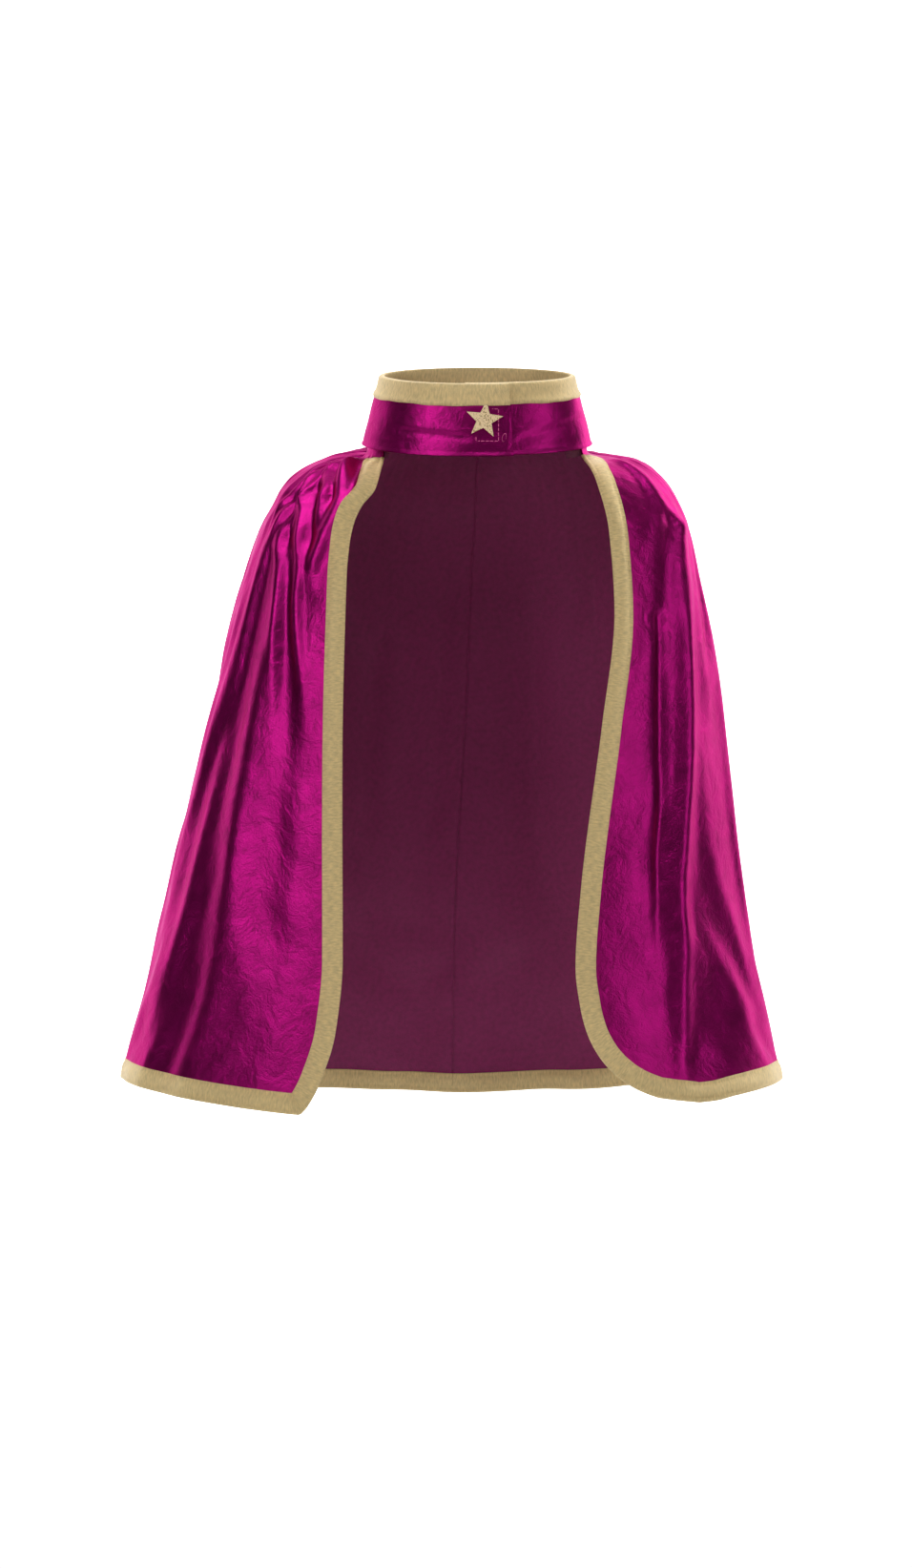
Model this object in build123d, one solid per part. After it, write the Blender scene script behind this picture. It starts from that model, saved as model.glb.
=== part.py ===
"""Child's dress-up cape in its worn shape: a flared cape gathered into a stand collar with a hook-and-loop front.

Millimetres, +Z up. The wearer faces -Y, so the wearer's right side is at -X.
The origin is the centre of the collar's seam ring, where the cape rests on the neck.
"""

import os
from math import cos, hypot, radians, sin
from typing import NamedTuple

from build123d import *

# ---- Collar: a leaning elliptical ring, lower in front than behind ----
collar_width = 158.0  # outside, at the seam
collar_depth = 114.0  # outside, at the seam
collar_height = 49.0  # seam plane to top edge, along the tilted axis
collar_clearance = 3.0  # the collar's lower edge stands this far above the seam plane
collar_lean = 13.0  # each half axis shrinks this much from the seam plane to the top edge
collar_tilt = 13.0  # degrees, front down
band_thickness = 0.8
stiffener_thickness = 0.8
facing_thickness = 0.8
stiffener_inset = 2.5  # the stiffener stops this far short of the collar's edges

# ---- Front closure: the wearer's right end laps over the left end ----
closure_gap = 0.4  # between the hooks and the loops, before they are pressed together
overlap_end = 22.5  # x of the lapping end
underlap_end = -9.0  # x of the end beneath it
arm_root = -30.0  # y where the free collar ends leave the sewn part
arm_gap = 1.0  # between a free end and the sewn part, where the cloth folds

patch_width = 17.0
patch_height = 23.5
patch_x = 6.5  # middle of the patches
patch_gap = 1.3  # the patches stop this far under the collar's binding
hook_thickness = 1.2
loop_thickness = 1.2
stitch_margin = 1.0  # patch edge to stitch line
stitch_length = 2.2
stitch_pitch = 3.2
stitch_width = 0.5
stitch_height = 0.35

star_radius = 12.8
star_inner_radius = 5.4
star_x = 4.5  # middle of the star
star_over = 3.1  # the star's top tip lies this far over the collar's binding
star_turn = -7.0  # degrees, in the front view
star_thickness = 1.3

# ---- Cape cloth ----
cloth_thickness = 1.2
front_top = -62.0  # the front panels swing free below this height
fold_gap = 2.0  # between a swinging front panel and the cloth it folds from
seam_depth = 3.0  # the cape's neck edge lies this far below the seam plane
neck_fit = 0.4  # between the collar's inner face and the cape's neck edge
cape_length = 449.0  # seam plane to the lowest point of the hem
drawn_length = 449.0  # the length that the levels and front edges below are drawn for
shoulder_drop = 62.0  # nothing above this changes with the cape's length


def lengthened(drop):
    """A drop from the seam plane, moved to suit the cape's length."""
    below = max(drop - shoulder_drop, 0)
    return drop + below * (cape_length - drawn_length) / (drawn_length - shoulder_drop)


class Section(NamedTuple):
    """One level ellipse of the cape's bell."""

    drop: float
    half_width: float
    half_depth: float
    centre_x: float
    centre_y: float
    tilt: float


def level(drop, wider, deeper, centre_x, centre_y, tilt):
    """A level of the bell, by how far it stands outside the collar's seam ring."""
    return Section(
        lengthened(drop), collar_width / 2 + wider, collar_depth / 2 + deeper, centre_x, centre_y, tilt
    )


bell_sections = [
    level(7, 26, 7, 2, 0, 12),  # over the collarbone
    level(13, 39, 12, 1, 0, 10),
    level(23, 51.5, 18, 0, 1, 8),
    level(39, 61.5, 25, -0.5, 2, 5),  # point of the shoulder
    level(55, 68.5, 31, -1.5, 3, 3),
    level(74, 73.5, 35, -3, 4, 1.5),
    level(104, 79.5, 39, -4.5, 5, 0),
    level(153, 89, 44, -6, 6, 0),
    level(218, 100, 50, -10, 8, 0),
    level(283, 112, 55, -14, 9, 0),
    level(348, 124.5, 60, -16.5, 10, 0),
    level(413, 139.5, 65, -16.5, 11, 0),
    level(470, 154, 70, -17, 12, 0),  # past the hem
]

# ---- Hem and front edges, as seen from the front ----
hem_low_x = -16.0
hem_radius = 1356.0
right_edge = [(-63, 30), (-63, 0), (-67, -26), (-80, -60), (-87, -93), (-90, -218), (-89, -344), (-104, -424)]
left_edge = [(68, 30), (70, 0), (80, -26), (88, -60), (91.5, -115), (83, -190), (69, -300), (65, -350)]
right_corner = (-116.0, 12.0)  # x of the front corner, and its rounding
left_corner = (66.0, 72.0)
corner_share = 0.85  # a corner's rounding stays under this share of the straight above it
far_side = 300.0  # past the widest point of the cape

# ---- Gold binding: one tape, folded over every raw edge ----
binding_width = 13.0
binding_thickness = 0.7

label_width = 24.0
label_drop = 19.0
label_thickness = 0.5
tape_width = 10.0
seam_room = 1.2  # for the gathered cloth between the cape's binding and the neck tape
tape_thickness = 0.7

big = 600.0
collar_thickness = band_thickness + stiffener_thickness + facing_thickness
closure_step = collar_thickness + hook_thickness + loop_thickness + closure_gap  # lapping end, forward
collar_place = Location((0, 0, 0), (collar_tilt, 0, 0))


def block(x, y, z):
    """A box between three (low, high) pairs."""
    size = (x[1] - x[0], y[1] - y[0], z[1] - z[0])
    middle = ((x[0] + x[1]) / 2, (y[0] + y[1]) / 2, (z[0] + z[1]) / 2)
    return Pos(*middle) * Box(*size)


def through(face, y=(-big, big)):
    """A front-view outline drawn on the XZ plane, run through the part along Y."""
    return Pos(0, y[1], 0) * extrude(Plane.XZ * face, y[1] - y[0])


# ------------------------------------------------------------------ collar


def collar_ring(step, grow, low, high):
    """The collar's elliptical frustum, grown outwards, before it is tilted."""
    levels = []
    for height in (low, high):
        lean = collar_lean * height / collar_height
        half_width = collar_width / 2 - lean + grow
        half_depth = collar_depth / 2 + step - lean + grow
        levels.append(Pos(0, 0, height) * Ellipse(half_width, half_depth))
    return loft(levels, ruled=True)


def collar_layer(step, outer, inner, low, high):
    """A ring between two growths of the collar's frustum."""
    return collar_ring(step, outer, low, high) - collar_ring(step, inner, low - 1, high + 1)


def collar_zone(name):
    """The part of the ring that one collar section fills, before it is tilted."""
    high = (-big, big)
    if name == "back":
        return block((-big, big), (arm_root + arm_gap / 2, big), high)
    front = (-big, arm_root - arm_gap / 2)
    if name == "overlap":
        return block((-big, overlap_end), front, high)
    return block((underlap_end, big), front, high)


def collar_section(name, step):
    """Band, stiffener, facing and binding of one section of the collar."""
    zone = collar_zone(name)
    low, high = collar_clearance, collar_height
    inner_band = -band_thickness
    inner_stiffener = inner_band - stiffener_thickness
    inset = stiffener_inset
    over = collar_layer(
        step, binding_thickness, -collar_thickness - binding_thickness,
        high - binding_width, high + binding_thickness,
    )
    covered = collar_layer(step, 0, -collar_thickness, high - binding_width - 2, high)
    pieces = {
        "band": collar_layer(step, 0, inner_band, low, high),
        "stiffener": collar_layer(step, inner_band, inner_stiffener, low + inset, high - inset),
        "facing": collar_layer(step, inner_stiffener, -collar_thickness, low, high),
        "binding": over - covered,
    }
    return {f"collar_{name}_{piece}": collar_place * (solid & zone) for piece, solid in pieces.items()}


def dashes_round(width, height, centre):
    """Stitch dashes round a rectangle in the front view."""
    dashes = Sketch()
    across = max(2, round(width / stitch_pitch))
    up = max(2, round(height / stitch_pitch))
    for i in range(across):
        x = centre[0] + width * ((i + 0.5) / across - 0.5)
        for side in (-1, 1):
            dashes += Pos(x, centre[1] + side * height / 2) * Rectangle(stitch_length, stitch_width)
    for i in range(up):
        z = centre[1] + height * ((i + 0.5) / up - 0.5)
        for side in (-1, 1):
            dashes += Pos(centre[0] + side * width / 2, z) * Rectangle(stitch_width, stitch_length)
    return dashes


def star_face(x, z):
    """The five-pointed star of the collar, in the front view."""
    points = []
    for i in range(10):
        reach = star_radius if i % 2 == 0 else star_inner_radius
        angle = radians(90 + star_turn + 36 * i)
        points.append((x + reach * cos(angle), z + reach * sin(angle)))
    return make_face(Polyline(*points, close=True))


def on_collar(face, step, outer, inner):
    """A front-view outline cut out of one layer of the collar's front."""
    layer = collar_place * collar_layer(step, outer, inner, -10, collar_height + 10)
    return layer & through(face, (-big, arm_root - arm_gap))


def binding_foot():
    """Height, in the front view, of the collar binding's lower edge at the lapping end."""
    along = collar_height - binding_width
    forward = collar_depth / 2 + closure_step - collar_lean * along / collar_height
    return along * cos(radians(collar_tilt)) - forward * sin(radians(collar_tilt))


def closure(binding):
    """Hook patch, loop patch, their stitching and the star."""
    patch_centre = (patch_x, binding_foot() - patch_gap - patch_height / 2)
    patch = Pos(*patch_centre) * Rectangle(patch_width, patch_height)
    stitched = (patch_width - 2 * stitch_margin, patch_height - 2 * stitch_margin)
    dashes = dashes_round(*stitched, patch_centre)
    star = star_face(star_x, binding_foot() + star_over - star_radius)
    inside = -collar_thickness
    return {
        "hook_patch": on_collar(patch, closure_step, inside, inside - hook_thickness),
        "hook_stitching": on_collar(dashes - star, closure_step, stitch_height, 0),
        "collar_star": on_collar(star, closure_step, star_thickness, 0) - binding,
        "loop_patch": on_collar(patch, 0, loop_thickness, 0),
        "loop_stitching": on_collar(dashes, 0, inside, inside - stitch_height),
    }


# ------------------------------------------------------------------ cape cloth


def neck_section():
    """The bell's first section, just inside the collar."""
    inside = collar_thickness + neck_fit + cloth_thickness / 2
    return Section(seam_depth, collar_width / 2 - inside, collar_depth / 2 - inside, 0, 0, collar_tilt)


def bell(grow):
    """The whole bell of the cape as a solid, grown along its own normal."""
    sections = [neck_section(), *bell_sections]
    faces = []
    for i, s in enumerate(sections):
        before, after = sections[max(i - 1, 0)], sections[min(i + 1, len(sections) - 1)]
        out, down = after.half_width - before.half_width, after.drop - before.drop
        long = hypot(out, down)
        wider, higher = grow * down / long, grow * out / long
        place = Location((s.centre_x, s.centre_y, higher - s.drop), (s.tilt, 0, 0))
        faces.append(place * Ellipse(s.half_width + wider, s.half_depth + wider))
    return loft(faces[::-1], ruled=True)


def cape_shell(outer, inner):
    """The bell's wall between two growths, open at the neck."""
    neck = neck_section()
    hole = Location((0, 0, 0), (neck.tilt, 0, 0)) * extrude(
        Ellipse(neck.half_width - 1, neck.half_depth - 1), big / 6, both=True
    )
    return bell(outer) - bell(inner) - hole


def hem_height(x, inset):
    """Height of the hem line at x, raised by an inset."""
    return inset - cape_length + (x - hem_low_x) ** 2 / (2 * hem_radius)


def panel_outline(side, inset):
    """Front-view outline of one front of the cape, with its front edge and hem moved in by an inset."""
    points = right_edge if side < 0 else left_edge
    corner_x, rounding = right_corner if side < 0 else left_corner
    edge = [(x + side * inset, -lengthened(-z)) for x, z in points]
    corner = (corner_x + side * inset, hem_height(corner_x + side * inset, inset))
    last_x, last_z = points[-1]
    straight = hypot(corner_x - last_x, hem_height(corner_x, 0) + lengthened(-last_z))
    rounding = min(rounding, corner_share * straight)
    outer = side * far_side
    end = (outer, hem_height(outer, inset))
    middle_x = (corner[0] + outer) / 2
    hem = ThreePointArc(corner, (middle_x, hem_height(middle_x, inset)), end)
    front = Spline(*edge) + Line(edge[-1], corner)
    rest = Polyline(end, (outer, edge[0][1]), edge[0])
    face = make_face(Curve() + front + hem + rest)
    turn = face.vertices().sort_by_distance((*corner, 0))[0]
    return fillet(turn, max(rounding - inset, 1.0))


def hem_outline(inset):
    """Front-view outline of everything above the hem."""
    x = (-far_side, hem_low_x, far_side)
    line = ThreePointArc(*[(at, hem_height(at, inset)) for at in x])
    top = Polyline((far_side, hem_height(far_side, inset)), (far_side, 60), (-far_side, 60),
                   (-far_side, hem_height(-far_side, inset)))
    return make_face(Curve() + line + top)


def half(side):
    """Everything on one side of the centre back."""
    return block((0, big) if side > 0 else (-big, 0), (-big, big), (-big, big))


behind = block((-big, big), (fold_gap / 2, big), (-big, big))
shoulder = block((-big, big), (-big, fold_gap / 2), (front_top + fold_gap / 2, big))
front = block((-big, big), (-big, -fold_gap / 2), (-big, front_top - fold_gap / 2))


def cape_side(name, side, cloth, tape):
    """Cloth and binding of one side: the sewn back with its shoulder, and the front that swings."""
    cut = through(panel_outline(side, 0), (-big, fold_gap / 2))
    margin = through(panel_outline(side, -binding_thickness), (-big, fold_gap / 2)) - through(
        panel_outline(side, binding_width), (-big, big)
    )
    back_cut = through(hem_outline(0), (fold_gap / 2, big))
    back_margin = through(hem_outline(-binding_thickness) - hem_outline(binding_width))
    whole = cloth & half(side)
    tape_half = tape & half(side)
    back = (whole & behind & back_cut) + (whole & shoulder & cut)
    front_panel = whole & front & cut
    return {
        f"{name}_back_panel": back,
        f"{name}_front_panel": front_panel,
        f"{name}_front_binding": (tape_half & front & margin) - front_panel,
        f"{name}_neck_binding": (tape_half & shoulder & margin) - back,
        f"{name}_hem_binding": (tape_half & behind & back_margin) - back,
    }


def tape_growth():
    """How far inside the collar's outer face the neck tape starts."""
    return collar_thickness + neck_fit + cloth_thickness + binding_thickness + seam_room


def neck_tape():
    """Tape inside the gathered seam, clear of the cape's binding."""
    outer = -tape_growth()
    ring = collar_layer(0, outer, outer - tape_thickness, -seam_depth, tape_width - seam_depth)
    return collar_place * (ring & collar_zone("back"))


def care_label():
    """Blank label that hangs inside the centre back from the neck tape."""
    outer = -(tape_growth() + tape_thickness + 0.2)
    high = tape_width - seam_depth
    layer = collar_layer(0, outer, outer - label_thickness, high - label_drop, high)
    return collar_place * (layer & block((-label_width / 2, label_width / 2), (0, big), (-big, big)))


def build():
    cloth = cape_shell(cloth_thickness / 2, -cloth_thickness / 2)
    over = cloth_thickness / 2 + binding_thickness
    tape = cape_shell(over, -over)
    nodes = {}
    nodes.update(collar_section("back", 0))
    nodes.update(collar_section("overlap", closure_step))
    nodes.update(collar_section("underlap", 0))
    nodes.update(closure(nodes["collar_overlap_binding"]))
    nodes.update(cape_side("right", -1, cloth, tape))
    nodes.update(cape_side("left", 1, cloth, tape))
    nodes["neck_tape"] = neck_tape()
    nodes["care_label"] = care_label()
    return nodes


os.makedirs("parts", exist_ok=True)
for node, shape in build().items():
    print(node, "solids", len(shape.solids()), "volume", round(shape.volume))
    export_step(shape, f"parts/{node}.step")
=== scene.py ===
import math

import bpy
import numpy as np
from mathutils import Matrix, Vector
from mathutils.bvhtree import BVHTree


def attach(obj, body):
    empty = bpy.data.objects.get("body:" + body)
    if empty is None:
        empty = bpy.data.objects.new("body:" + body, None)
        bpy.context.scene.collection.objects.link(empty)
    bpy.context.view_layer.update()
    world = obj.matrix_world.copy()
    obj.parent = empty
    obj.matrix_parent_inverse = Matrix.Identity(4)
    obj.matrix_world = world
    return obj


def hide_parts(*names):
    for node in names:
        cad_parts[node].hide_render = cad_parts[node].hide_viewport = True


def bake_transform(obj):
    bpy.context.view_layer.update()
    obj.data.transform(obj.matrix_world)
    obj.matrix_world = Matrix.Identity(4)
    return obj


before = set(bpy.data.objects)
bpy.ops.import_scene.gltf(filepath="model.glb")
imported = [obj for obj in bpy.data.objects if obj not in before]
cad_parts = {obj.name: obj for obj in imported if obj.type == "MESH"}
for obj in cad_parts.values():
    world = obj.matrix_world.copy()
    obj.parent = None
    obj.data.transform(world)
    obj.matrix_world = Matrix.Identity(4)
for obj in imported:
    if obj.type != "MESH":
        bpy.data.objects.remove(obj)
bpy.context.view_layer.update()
print("frame loaded:", len(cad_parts), "nodes")


# ---------- camera and studio

camera = {"place": (-0.0143, -2.6, -0.229), "viewHeight": 1.069, "sensor": 24.0}
studio = {
    "floorHeight": -1.0,
    "floorSize": 12,
    "wallPlace": 1.9,
    "wallHeight": 0.5,
    "wallSize": 9,
    "wallGlow": 1.3,
    "worldFront": 0.13,
    "worldBack": 0.75,
    "worldFade": 0.9,  # how far forward and back the two strengths are reached
    "aim": (0, 0, -0.2),
    "key": {"place": (-1.35, -1.7, 0.7), "size": (0.55, 1.9), "power": 13},
    "fill": {"place": (1.7, -1.2, 0.2), "size": (0.5, 1.9), "power": 7},
    "rim": {"place": (1.3, 1.2, 0.9), "size": (0.8, 1.6), "power": 8},
    "front": {"place": (0.1, -2.4, 1.8), "size": (1.4, 0.7), "power": 9},
    "overhead": {"place": (-0.1, -0.75, 1.7), "size": (2.0, 1.1), "power": 24},
}


def clearSelection():
    if bpy.context.object and bpy.context.object.mode != "OBJECT":
        bpy.ops.object.mode_set(mode="OBJECT")
    bpy.ops.object.select_all(action="DESELECT")


def selectOnly(obj):
    clearSelection()
    obj.select_set(True)
    bpy.context.view_layer.objects.active = obj


def makeCamera():
    data = bpy.data.cameras.new("camera")
    data.sensor_fit = "VERTICAL"
    data.sensor_height = camera["sensor"]
    data.lens = camera["sensor"] / camera["viewHeight"] * abs(camera["place"][1])
    obj = bpy.data.objects.new("camera", data)
    obj.location = camera["place"]
    obj.rotation_euler = (math.pi / 2, 0, 0)
    bpy.context.collection.objects.link(obj)
    bpy.context.scene.camera = obj


def plainMaterial(name, colour, roughness, glow=0.0):
    mat = bpy.data.materials.new(name)
    mat.use_nodes = True
    shader = mat.node_tree.nodes["Principled BSDF"]
    shader.inputs["Base Color"].default_value = (*colour, 1)
    shader.inputs["Roughness"].default_value = roughness
    if glow:
        shader.inputs["Emission Color"].default_value = (*colour, 1)
        shader.inputs["Emission Strength"].default_value = glow
    return mat


def makeStudio():
    clearSelection()
    bpy.ops.mesh.primitive_plane_add(size=studio["floorSize"], location=(0, 0, studio["floorHeight"]))
    floor = bpy.context.object
    floor.name = "floor"
    floor.data.materials.append(plainMaterial("paleFloor", (0.88, 0.88, 0.88), 0.7))
    clearSelection()
    bpy.ops.mesh.primitive_plane_add(
        size=studio["wallSize"], location=(0, studio["wallPlace"], studio["wallHeight"]),
        rotation=(math.pi / 2, 0, 0),
    )
    wall = bpy.context.object
    wall.name = "backdrop"
    wall.data.materials.append(plainMaterial("paleWall", (1, 1, 1), 0.8, studio["wallGlow"]))
    world = bpy.data.worlds.new("studio")
    bpy.context.scene.world = world
    world.use_nodes = True
    nodes, links = world.node_tree.nodes, world.node_tree.links
    coords, split = nodes.new("ShaderNodeTexCoord"), nodes.new("ShaderNodeSeparateXYZ")
    fade = nodes.new("ShaderNodeMapRange")
    fade.inputs["From Min"].default_value = -studio["worldFade"]
    fade.inputs["From Max"].default_value = studio["worldFade"]
    fade.inputs["To Min"].default_value = studio["worldFront"]
    fade.inputs["To Max"].default_value = studio["worldBack"]
    links.new(coords.outputs["Generated"], split.inputs["Vector"])
    links.new(split.outputs["Y"], fade.inputs["Value"])
    links.new(fade.outputs["Result"], nodes["Background"].inputs["Strength"])
    for name in ("key", "fill", "rim", "front", "overhead"):
        spec = studio[name]
        data = bpy.data.lights.new(name, "AREA")
        data.shape = "RECTANGLE"
        data.size, data.size_y = spec["size"]
        data.energy = spec["power"]
        lamp = bpy.data.objects.new(name, data)
        lamp.location = spec["place"]
        toAim = Vector(studio["aim"]) - Vector(spec["place"])
        lamp.rotation_euler = toAim.to_track_quat("-Z", "Y").to_euler()
        bpy.context.collection.objects.link(lamp)
    bpy.context.scene.view_settings.view_transform = "Standard"


makeCamera()
makeStudio()
print("camera and studio ready")


# ---------- materials


def addNode(mat, kind, **values):
    node = mat.node_tree.nodes.new(kind)
    for key, value in values.items():
        if key in node.inputs:
            node.inputs[key].default_value = value
        else:
            setattr(node, key, value)
    return node


def wire(mat, source, output, target, socket):
    mat.node_tree.links.new(source.outputs[output], target.inputs[socket])


def startMaterial(name, colour, roughness, metallic=0.0):
    mat = plainMaterial(name, colour, roughness)
    shader = mat.node_tree.nodes["Principled BSDF"]
    shader.inputs["Metallic"].default_value = metallic
    return mat, shader


def mottle(mat, shader, coords, scale, low, high, detail=4.0):
    noise = addNode(mat, "ShaderNodeTexNoise", Scale=scale, Detail=detail)
    wire(mat, coords[0], coords[1], noise, "Vector")
    ramp = addNode(mat, "ShaderNodeValToRGB")
    ramp.color_ramp.elements[0].position = 0.3
    ramp.color_ramp.elements[1].position = 0.7
    ramp.color_ramp.elements[0].color = (*low, 1)
    ramp.color_ramp.elements[1].color = (*high, 1)
    wire(mat, noise, "Fac", ramp, "Fac")
    wire(mat, ramp, "Color", shader, "Base Color")
    return noise


def addBump(mat, source, output, strength, distance, before=None):
    bump = addNode(mat, "ShaderNodeBump", Strength=strength, Distance=distance)
    wire(mat, source, output, bump, "Height")
    if before:
        wire(mat, before, "Normal", bump, "Normal")
    return bump


def mathNode(mat, operation, first, second=None):
    node = addNode(mat, "ShaderNodeMath", operation=operation)
    for socket, value in enumerate((first, second)):
        if isinstance(value, (int, float)):
            node.inputs[socket].default_value = value
        elif value is not None:
            wire(mat, value[0], value[1], node, socket)
    return (node, "Value")


foilLook = {
    "colour": (0.44, 0.003, 0.17),
    "dark": (0.33, 0.002, 0.135),
    "light": (0.43, 0.003, 0.175),
    "tint": (0.9, 0.16, 0.56),
    "gloss": (0.27, 0.42),
    # scale of the pattern, strength and height of its bump
    "crumple": (85, 0.55, 0.0016),
    "crackle": (520, 0.25, 0.0004),
    "knit": (1500, 0.35, 0.00025),
}


def makeFoil():
    # foil printed on a thin knit: a fine crackle, soft crumples and a slightly uneven gloss
    mat, shader = startMaterial("magentaFoil", foilLook["colour"], 0.34, 0.95)
    shader.inputs["Specular Tint"].default_value = (*foilLook["tint"], 1)
    shader.inputs["Coat Weight"].default_value = 0.12
    shader.inputs["Coat Roughness"].default_value = 0.42
    uv = addNode(mat, "ShaderNodeUVMap")
    mottle(mat, shader, (uv, "UV"), 60, foilLook["dark"], foilLook["light"])
    crumpleScale, *crumpleBump = foilLook["crumple"]
    crackleScale, *crackleBump = foilLook["crackle"]
    knitScale, *knitBump = foilLook["knit"]
    crackle = addNode(mat, "ShaderNodeTexVoronoi", Scale=crackleScale, feature="DISTANCE_TO_EDGE")
    crumple = addNode(
        mat, "ShaderNodeTexNoise", Scale=crumpleScale, Detail=5.0, Roughness=0.6, Distortion=0.5,
    )
    knit = addNode(mat, "ShaderNodeTexNoise", Scale=knitScale, Detail=1.0)
    for pattern in (crackle, crumple, knit):
        wire(mat, uv, "UV", pattern, "Vector")
    gloss = addNode(mat, "ShaderNodeMapRange")
    gloss.inputs["To Min"].default_value, gloss.inputs["To Max"].default_value = foilLook["gloss"]
    wire(mat, crumple, "Fac", gloss, "Value")
    wire(mat, gloss, "Result", shader, "Roughness")
    bump = addBump(mat, crumple, "Fac", *crumpleBump)
    bump = addBump(mat, crackle, "Distance", *crackleBump, bump)
    bump = addBump(mat, knit, "Fac", *knitBump, bump)
    wire(mat, bump, "Normal", shader, "Normal")
    return mat


def makeWrongSide():
    # the back of the foil cloth is the plain dyed knit
    mat, shader = startMaterial("foilWrongSide", (0.20, 0.004, 0.075), 0.75)
    uv = addNode(mat, "ShaderNodeUVMap")
    mottle(mat, shader, (uv, "UV"), 300, (0.17, 0.003, 0.065), (0.23, 0.006, 0.09))
    shader.inputs["Sheen Weight"].default_value = 0.12
    knit = addNode(mat, "ShaderNodeTexVoronoi", Scale=900)
    wire(mat, uv, "UV", knit, "Vector")
    bump = addBump(mat, knit, "Distance", 0.4, 0.0003)
    wire(mat, bump, "Normal", shader, "Normal")
    return mat


lameLook = {
    "darkest": 0.72,  # share of the full gold
    "ladder": 0.28,  # stretches the weave into short bars across the tape
    "ribEvery": 0.0011,
    "threadEvery": 0.0009,
    "stitchRows": (0.0020, 0.01155),  # in metres round the folded strip
    "stitchEvery": 0.0032,
    "stitchShare": 0.68,
    "stitchWidth": 0.0005,
}


def makeLame(name, light, stitched=False):
    # woven metallic tape; along the strip u runs with the tape and v runs across it
    mat, shader = startMaterial(name, light, 0.36, 0.48)
    uv = addNode(mat, "ShaderNodeUVMap")
    dark = tuple(c * lameLook["darkest"] for c in light)
    ladder = addNode(mat, "ShaderNodeMapping", Scale=(1, lameLook["ladder"], 1))
    wire(mat, uv, "UV", ladder, "Vector")
    mottle(mat, shader, (ladder, "Vector"), 850, dark, light, 3.0)
    split = addNode(mat, "ShaderNodeSeparateXYZ")
    wire(mat, uv, "UV", split, "Vector")
    ribTurn, threadTurn = (2 * math.pi / lameLook[every] for every in ("ribEvery", "threadEvery"))
    ribs = mathNode(mat, "SINE", mathNode(mat, "MULTIPLY", (split, "X"), ribTurn))
    threads = mathNode(mat, "SINE", mathNode(mat, "MULTIPLY", (split, "Y"), threadTurn))
    bump = addBump(mat, *mathNode(mat, "MULTIPLY", ribs, threads), 0.8, 0.0004)
    pucker = addNode(mat, "ShaderNodeTexNoise", Scale=150, Detail=3.0)
    wire(mat, uv, "UV", pucker, "Vector")
    bump = addBump(mat, pucker, "Fac", 0.5, 0.0008, bump)
    if stitched:
        bump = addStitchRows(mat, split, bump)
    wire(mat, bump, "Normal", shader, "Normal")
    return mat


def addStitchRows(mat, split, before):
    # two rows of stitches pull the tape down along its edges
    rows = []
    for place in lameLook["stitchRows"]:
        rows.append(mathNode(mat, "ABSOLUTE", mathNode(mat, "SUBTRACT", (split, "Y"), place)))
    near = mathNode(mat, "LESS_THAN", mathNode(mat, "MINIMUM", *rows), lameLook["stitchWidth"])
    along = mathNode(mat, "FRACT", mathNode(mat, "DIVIDE", (split, "X"), lameLook["stitchEvery"]))
    dash = mathNode(mat, "LESS_THAN", along, lameLook["stitchShare"])
    bump = addBump(mat, *mathNode(mat, "MULTIPLY", near, dash), 1.0, 0.0006, before)
    bump.invert = True
    return bump


def makeGlitter():
    # flakes of foil set at all angles in clear glue; the gold is the flakes' own colour, and each flake's
    # random brightness, dark brown to pale gold, is painted glint and shade of flakes tilted to and from the
    # light
    mat, shader = startMaterial("goldGlitter", (0.95, 0.76, 0.40), 0.35, 0.3)
    coords = addNode(mat, "ShaderNodeTexCoord")
    flakes = addNode(mat, "ShaderNodeTexVoronoi", Scale=1500)
    wire(mat, coords, "Object", flakes, "Vector")
    # painted glints and shade: each flake gets a random brightness, from dark brown to pale gold
    ramp = addNode(mat, "ShaderNodeValToRGB")
    ramp.color_ramp.elements[0].color = (0.34, 0.18, 0.04, 1)
    ramp.color_ramp.elements[0].position = 0.1
    ramp.color_ramp.elements[1].color = (1.0, 0.76, 0.46, 1)
    ramp.color_ramp.elements[1].position = 0.36
    wire(mat, flakes, "Color", ramp, "Fac")
    wire(mat, ramp, "Color", shader, "Base Color")
    bump = addBump(mat, flakes, "Color", 0.55, 0.0005)
    wire(mat, bump, "Normal", shader, "Normal")
    return mat


def makeThreaded(name, colour, scale, roughness=0.6, distance=0.0003):
    mat, shader = startMaterial(name, colour, roughness)
    coords = addNode(mat, "ShaderNodeTexCoord")
    mottle(mat, shader, (coords, "Object"), scale * 0.2, tuple(c * 0.75 for c in colour), colour)
    twist = addNode(mat, "ShaderNodeTexVoronoi", Scale=scale)
    wire(mat, coords, "Object", twist, "Vector")
    bump = addBump(mat, twist, "Distance", 0.7, distance)
    wire(mat, bump, "Normal", shader, "Normal")
    shader.inputs["Sheen Weight"].default_value = 0.2
    return mat


materials = {
    "foil": makeFoil(),
    "wrongSide": makeWrongSide(),
    "lame": makeLame("goldLame", (1.0, 0.76, 0.37)),
    "lameTape": makeLame("goldLameTape", (1.0, 0.76, 0.36), True),
    "glitter": makeGlitter(),
    "thread": makeThreaded("pinkThread", (0.80, 0.10, 0.32), 2500),
    "hooks": makeThreaded("hookTape", (0.70, 0.66, 0.62), 900, 0.5, 0.0008),
    "loops": makeThreaded("loopTape", (0.76, 0.72, 0.68), 1600, 0.9, 0.0006),
    "tape": makeThreaded("neckTapeWeave", (0.17, 0.004, 0.065), 1400, 0.8),
    "label": makeThreaded("labelSatin", (0.90, 0.90, 0.88), 2200, 0.35),
}
print("materials ready")


# ---------- the worn shape of the cape


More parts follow.
